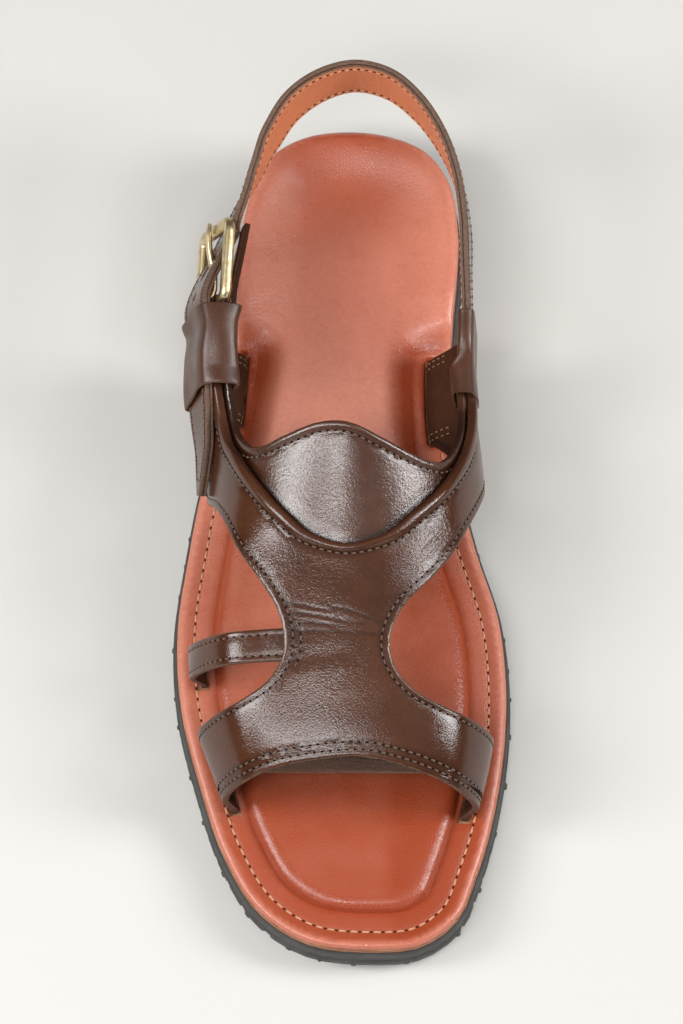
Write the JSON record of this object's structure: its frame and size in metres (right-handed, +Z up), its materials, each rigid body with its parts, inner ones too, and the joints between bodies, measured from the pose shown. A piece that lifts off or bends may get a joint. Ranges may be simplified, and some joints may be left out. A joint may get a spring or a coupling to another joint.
{
  "type": "strap sandal",
  "caption": "Peshawari chappal: leather sandal with a wide vamp, instep panel, buckled heel strap, padded footbed and treaded rubber outsole.",
  "frame": {"origin": "on the ground under the middle of the sole's bounding box", "axes": "-Y to the toe, +Y to the heel, +X to the wearer's inner side, -X to the outer side with the buckle, +Z up"},
  "size_m": [0.1124, 0.2902, 0.0883],
  "materials": {
    "rubber": "matt black moulded rubber",
    "sole_leather": "plain cut edge, terracotta",
    "tan_leather": "smooth terracotta leather, soft sheen",
    "brown_leather": "polished dark brown leather, semi-gloss",
    "brass": "antique brass, satin"
  },
  "bodies": {
    "root": {"outsole": "rubber", "midsole": "sole_leather", "footbed": "tan_leather", "vamp": "brown_leather", "instep_panel": "brown_leather", "heel_strap": "brown_leather", "keeper_lateral": "brown_leather", "keeper_medial": "brown_leather", "buckle_frame": "brass", "buckle_prong": "brass", "buckle_chape": "brown_leather"}
  },
  "joints": []
}
